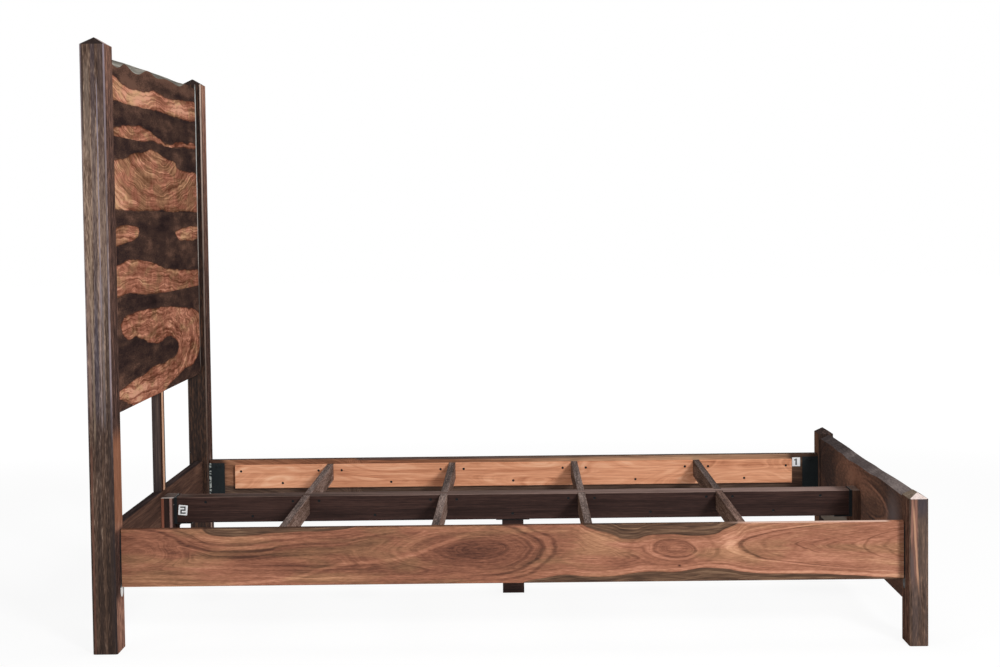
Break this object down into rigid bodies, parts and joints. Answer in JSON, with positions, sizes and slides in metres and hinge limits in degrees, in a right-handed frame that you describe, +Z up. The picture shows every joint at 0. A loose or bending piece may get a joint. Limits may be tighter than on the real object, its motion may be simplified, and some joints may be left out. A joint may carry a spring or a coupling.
{
  "type": "live edge bed frame",
  "caption": "Queen size wooden bed frame with a tall live edge plank headboard, a low hewn footboard, side rails, a centre beam on a leg and drop-in half slats.",
  "frame": {"origin": "on the floor, at the centre of the bed frame's outline seen from above", "axes": "+X from the headboard to the footboard, +Y to the right-hand side as seen from the foot of the bed facing the headboard, +Z up"},
  "size_m": [2.173, 1.71, 1.6015],
  "materials": {
    "post_wood": "dark brown hardwood with grey-brown streaks, satin lacquer",
    "panel_wood": "figured hardwood, light orange-brown swirls on near-black heartwood, satin lacquer",
    "frame_wood": "dark reddish brown hardwood, satin lacquer",
    "footboard_wood": "dark brown hardwood with reddish swirls, satin lacquer",
    "side_rail_wood": "reddish brown hardwood with flowing cathedral grain and grey-olive sapwood streaks, satin lacquer",
    "ledger_wood": "light orange-tan wood, oiled",
    "beam_wood": "very dark brown stained wood",
    "slat_wood": "grey-brown wood, sawn and stained",
    "dowel_wood": "plain light wood",
    "black_steel": "black coated folded steel",
    "bare_steel": "bright plated steel",
    "black_screws": "black coated wood screws",
    "sticker": "white sticker with a plain number"
  },
  "bodies": {
    "frame": {"beam_block_foot": "frame_wood", "beam_block_head": "frame_wood", "beam_block_screws": "black_screws", "beam_hanger_foot": "black_steel", "beam_hanger_head": "black_steel", "beam_hanger_screws": "black_screws", "beam_label": "sticker", "beam_ledger_left": "beam_wood", "beam_ledger_right": "beam_wood", "beam_ledger_screws_left": "black_screws", "beam_ledger_screws_right": "black_screws", "centre_beam": "beam_wood", "centre_leg": "beam_wood", "foot_post_left": "post_wood", "foot_post_right": "post_wood", "footboard_plank": "footboard_wood", "head_post_left": "post_wood", "head_post_right": "post_wood", "headboard_dowels": "dowel_wood", "headboard_lower_rail": "frame_wood", "headboard_plank_bottom": "panel_wood", "headboard_plank_lower": "panel_wood", "headboard_plank_top": "panel_wood", "headboard_plank_upper": "panel_wood", "headboard_stile": "frame_wood", "leg_bolt": "bare_steel", "leg_plate": "black_steel", "leg_plate_screws": "black_screws", "post_plate_foot_left": "black_steel", "post_plate_foot_right": "black_steel", "post_plate_head_left": "bare_steel", "post_plate_head_right": "bare_steel", "post_plate_screws": "bare_steel", "rail_hook_foot_left": "black_steel", "rail_hook_foot_right": "black_steel", "rail_hook_head_left": "black_steel", "rail_hook_head_right": "black_steel", "rail_hook_screws": "black_screws", "rail_label": "sticker", "rail_ledger_left": "ledger_wood", "rail_ledger_right": "ledger_wood", "rail_ledger_screws_left": "black_screws", "rail_ledger_screws_right": "black_screws", "side_rail_left": "side_rail_wood", "side_rail_right": "side_rail_wood"},
    "slat_left_1": {"slat_left_1": "slat_wood"},
    "slat_left_2": {"slat_left_2": "slat_wood"},
    "slat_left_3": {"slat_left_3": "slat_wood"},
    "slat_left_4": {"slat_left_4": "slat_wood"},
    "slat_right_1": {"slat_right_1": "slat_wood"},
    "slat_right_2": {"slat_right_2": "slat_wood"},
    "slat_right_3": {"slat_right_3": "slat_wood"},
    "slat_right_4": {"slat_right_4": "slat_wood"}
  },
  "joints": [
    {"name": "slat_left_1_lift", "type": "slide", "parent": "frame", "child": "slat_left_1", "axis": [0, 0, 1], "range_m": [0, 0.15]},
    {"name": "slat_left_2_lift", "type": "slide", "parent": "frame", "child": "slat_left_2", "axis": [0, 0, 1], "range_m": [0, 0.15]},
    {"name": "slat_left_3_lift", "type": "slide", "parent": "frame", "child": "slat_left_3", "axis": [0, 0, 1], "range_m": [0, 0.15]},
    {"name": "slat_left_4_lift", "type": "slide", "parent": "frame", "child": "slat_left_4", "axis": [0, 0, 1], "range_m": [0, 0.15]},
    {"name": "slat_right_1_lift", "type": "slide", "parent": "frame", "child": "slat_right_1", "axis": [0, 0, 1], "range_m": [0, 0.15]},
    {"name": "slat_right_2_lift", "type": "slide", "parent": "frame", "child": "slat_right_2", "axis": [0, 0, 1], "range_m": [0, 0.15]},
    {"name": "slat_right_3_lift", "type": "slide", "parent": "frame", "child": "slat_right_3", "axis": [0, 0, 1], "range_m": [0, 0.15]},
    {"name": "slat_right_4_lift", "type": "slide", "parent": "frame", "child": "slat_right_4", "axis": [0, 0, 1], "range_m": [0, 0.15]}
  ]
}
